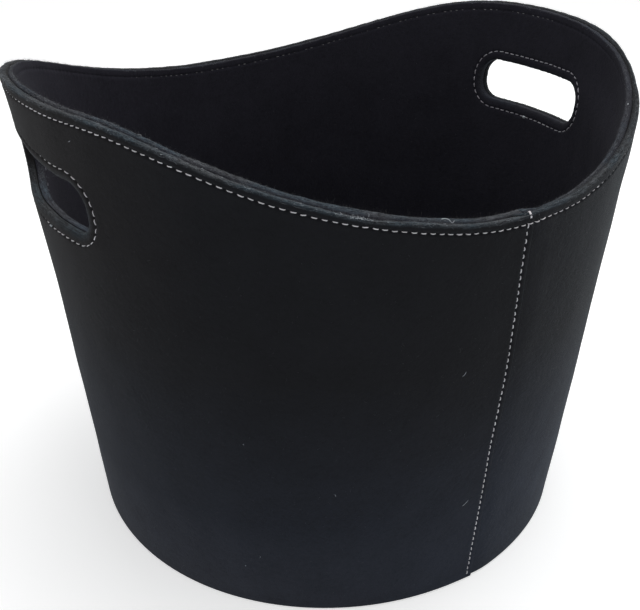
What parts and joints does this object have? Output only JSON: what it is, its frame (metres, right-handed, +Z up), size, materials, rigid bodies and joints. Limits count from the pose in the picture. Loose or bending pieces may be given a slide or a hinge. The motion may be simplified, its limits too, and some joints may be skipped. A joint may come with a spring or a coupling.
{
  "type": "felt log basket",
  "caption": "Stiff tapered oval tub of double black felt with a saddle rim, sewn hand slots in its raised ends and white stitching, for carrying firewood.",
  "frame": {"origin": "middle of the underside, on the floor", "axes": "+Z up, +X along the long axis towards one hand slot, -Y towards the lapped seam"},
  "size_m": [0.4216, 0.391, 0.3335],
  "materials": {
    "outer_felt": "matte pressed wool felt, black, fuzzy cut edges",
    "inner_felt": "matte pressed wool felt, black",
    "board": "raw hardboard",
    "thread": "white waxed polyester sewing thread"
  },
  "bodies": {
    "root": {"outer_wall_felt": "outer_felt", "inner_wall_felt": "inner_felt", "base_outer_felt": "outer_felt", "base_board": "board", "base_inner_felt": "inner_felt", "rim_thread": "thread", "left_handle_thread": "thread", "right_handle_thread": "thread", "seam_thread": "thread"}
  },
  "joints": []
}
